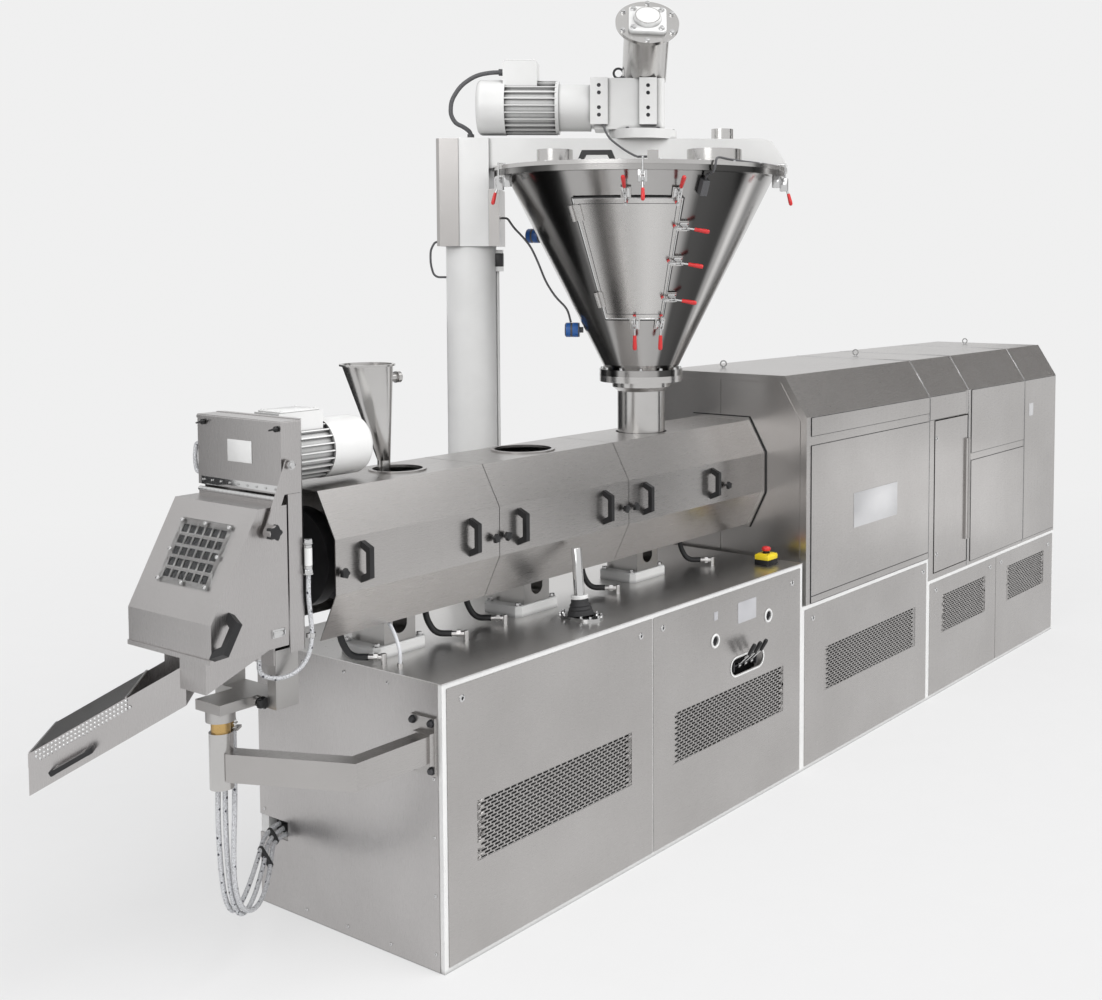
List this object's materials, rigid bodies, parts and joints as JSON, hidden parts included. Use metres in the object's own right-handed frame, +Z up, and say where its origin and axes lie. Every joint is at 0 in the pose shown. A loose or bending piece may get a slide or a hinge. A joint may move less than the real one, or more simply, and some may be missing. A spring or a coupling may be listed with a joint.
{
  "type": "compounding extruder with face-cut pelletizer",
  "caption": "Stainless compounding extruder: boxed base, covered barrel, conical feed hopper on a column arm, drive housing and a swing-out face-cut pelletizer with hood and chute.",
  "frame": {"origin": "centre of the base's underside, on the floor", "axes": "+X along the machine to the drive end, +Y to the back, +Z up"},
  "size_m": [6.1332, 1.3801, 3.3167],
  "materials": {
    "stainless": "brushed stainless sheet",
    "white_paint": "satin white paint",
    "black_plastic": "matt black",
    "brass": "turned brass",
    "dark_steel": "dark oiled steel",
    "yellow_plastic": "yellow moulded case",
    "hose": "braided sleeve"
  },
  "bodies": {
    "machine": {"barrel": "dark_steel", "barrel_cover_1": "stainless", "barrel_cover_2": "stainless", "barrel_cover_3": "stainless", "barrel_saddles": "stainless", "base_frame": "white_paint", "bearing_tube": "stainless", "clamp_post": "stainless", "column": "white_paint", "column_head": "stainless", "cover_handles": "black_plastic", "drain_hose_1": "hose", "drain_hose_2": "hose", "drain_hose_3": "hose", "drive_motor": "white_paint", "emergency_stop": "yellow_plastic", "end_panel": "stainless", "front_grilles": "stainless", "front_panel_1": "stainless", "front_panel_2": "stainless", "front_panel_3": "stainless", "front_panel_4": "stainless", "front_panel_5": "stainless", "gearbox": "white_paint", "hopper_arm": "white_paint", "hopper_cone": "stainless", "hopper_lid": "stainless", "hopper_neck": "stainless", "housing_door_bay": "stainless", "housing_end": "stainless", "housing_front": "stainless", "housing_middle": "stainless", "housing_panels": "stainless", "lid_clamps": "stainless", "post_bushing": "brass", "post_sleeve": "stainless", "rear_panels": "stainless", "saddle_plates": "white_paint", "service_lines": "black_plastic", "side_funnel": "stainless", "swing_arm": "stainless", "table_top": "stainless", "valve_bank": "dark_steel"},
    "pelletizer": {"pelletizer_carrier": "white_paint", "back_plate": "stainless", "drive_box": "stainless", "cutter_motor": "white_paint", "outlet_trough": "stainless", "discharge_chute": "stainless", "water_hoses": "hose"},
    "hood": {"cutter_hood": "stainless", "hood_window": "black_plastic", "hood_handle": "black_plastic"},
    "stay": {"stay_bar": "stainless"},
    "hatch": {"hopper_hatch": "stainless", "hatch_clamps": "stainless"},
    "door": {"cabinet_door": "stainless"},
    "lever_1": {"valve_lever_1": "black_plastic"},
    "lever_2": {"valve_lever_2": "black_plastic"},
    "lever_3": {"valve_lever_3": "black_plastic"}
  },
  "joints": [
    {"name": "pelletizer_swing", "type": "hinge", "parent": "machine", "child": "pelletizer", "pos_m": [-3.08, 0, 0.75], "axis": [0, 0, -1], "range_deg": [0, 85]},
    {"name": "hood_lift", "type": "hinge", "parent": "pelletizer", "child": "hood", "pos_m": [-3.004, 0, 1.553], "axis": [0, 1, 0], "range_deg": [0, 70]},
    {"name": "stay_swing", "type": "hinge", "parent": "pelletizer", "child": "stay", "pos_m": [-2.979, -0.214, 1.656], "axis": [0, 1, 0], "range_deg": [0, 75]},
    {"name": "hatch_open", "type": "hinge", "parent": "machine", "child": "hatch", "pos_m": [-1.25876, -0.02313, 2.03], "axis": [0.4497, 0.0374, -0.8924], "range_deg": [0, 100]},
    {"name": "cabinet_door_open", "type": "hinge", "parent": "machine", "child": "door", "pos_m": [1.316, -0.464, 1.05], "axis": [0, 0, 1], "range_deg": [0, 110]},
    {"name": "lever_1_tilt", "type": "hinge", "parent": "machine", "child": "lever_1", "pos_m": [-0.895, -0.436, 0.596], "axis": [1, 0, 0], "range_deg": [-12, 12]},
    {"name": "lever_2_tilt", "type": "hinge", "parent": "machine", "child": "lever_2", "pos_m": [-0.85, -0.436, 0.596], "axis": [1, 0, 0], "range_deg": [-12, 12]},
    {"name": "lever_3_tilt", "type": "hinge", "parent": "machine", "child": "lever_3", "pos_m": [-0.805, -0.436, 0.596], "axis": [1, 0, 0], "range_deg": [-12, 12]}
  ]
}
